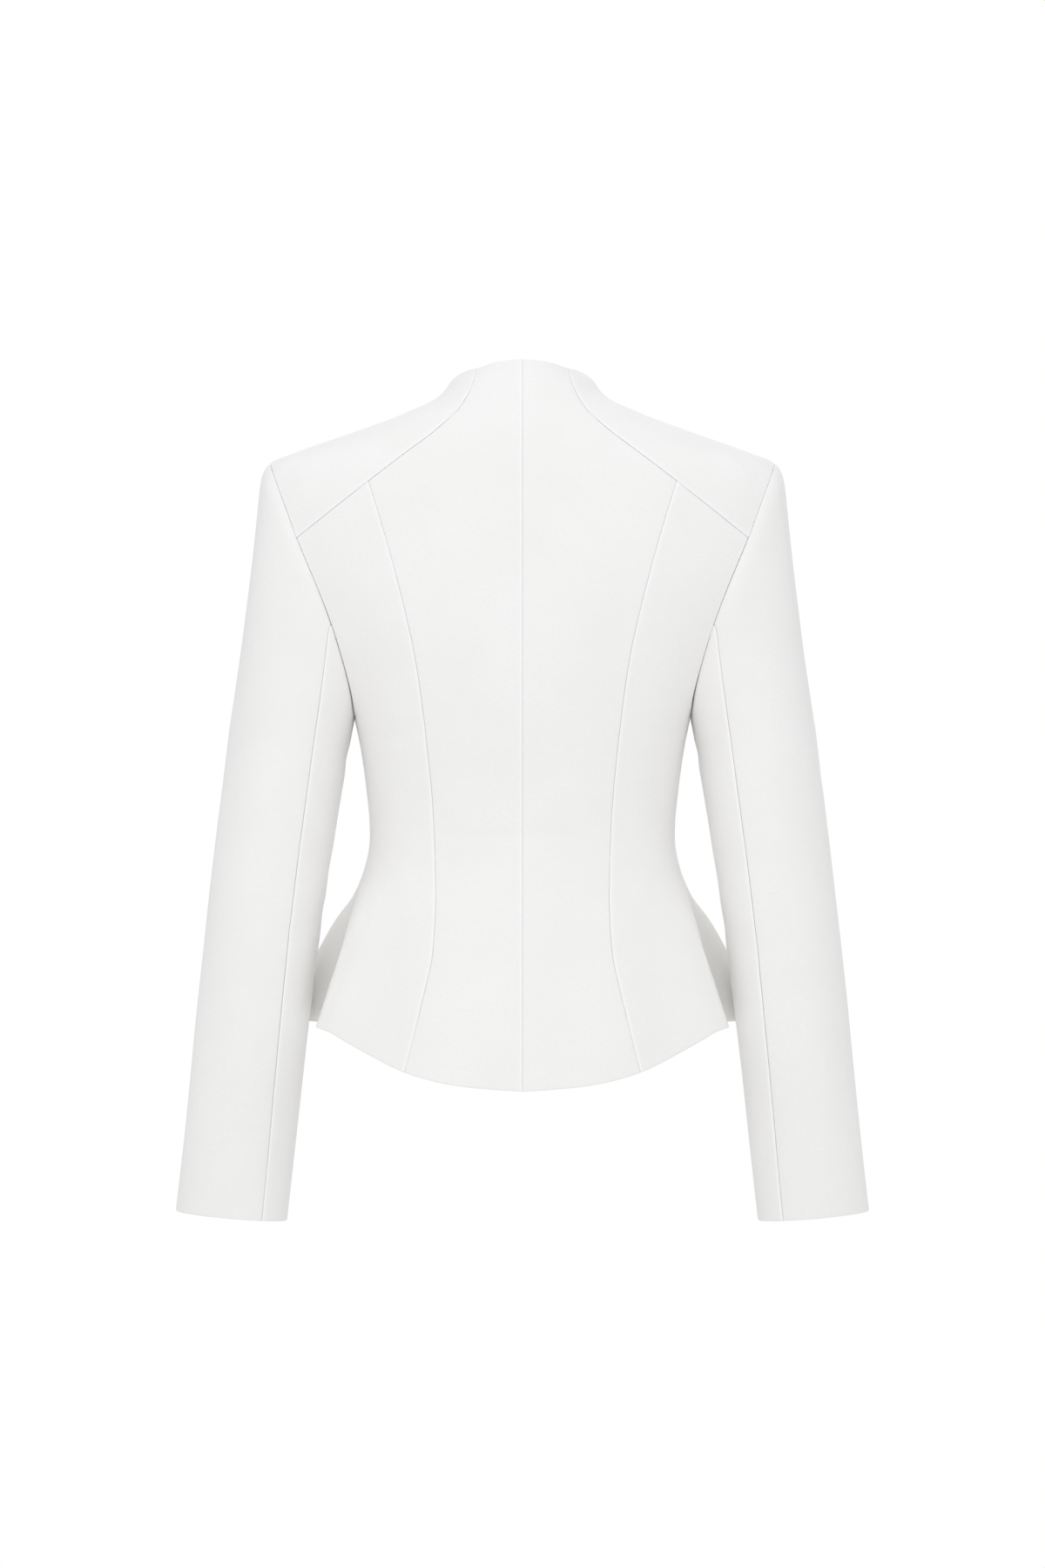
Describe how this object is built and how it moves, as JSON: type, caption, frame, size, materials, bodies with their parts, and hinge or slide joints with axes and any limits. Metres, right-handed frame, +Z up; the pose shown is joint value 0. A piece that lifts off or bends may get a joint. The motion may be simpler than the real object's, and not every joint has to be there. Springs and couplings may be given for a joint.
{
  "type": "fitted wrap blazer",
  "caption": "Fitted wrap blazer in plain cloth, hollow as it is worn: stand neck, padded shoulders, princess seams, seamed sleeves and a peplum flared into a flute at each side.",
  "frame": {"origin": "between the shoulders, under the shoulder line, at the level of the base of the neck, where the wearer's shoulders carry the jacket", "axes": "+Z up, -Y out of the jacket's front, +X to the wearer's left"},
  "size_m": [0.5704, 0.242, 0.7041],
  "materials": {
    "white_crepe": "matte faced crepe, off-white, with a fine dry grain"
  },
  "bodies": {
    "root": {"centre_back_left": "white_crepe", "centre_back_right": "white_crepe", "side_back_left": "white_crepe", "side_back_right": "white_crepe", "shoulder_panel_left": "white_crepe", "shoulder_panel_right": "white_crepe", "side_front_left": "white_crepe", "side_front_right": "white_crepe", "front_left": "white_crepe", "front_right": "white_crepe", "under_sleeve_left": "white_crepe", "under_sleeve_right": "white_crepe", "top_sleeve_left": "white_crepe", "top_sleeve_right": "white_crepe"}
  },
  "joints": []
}
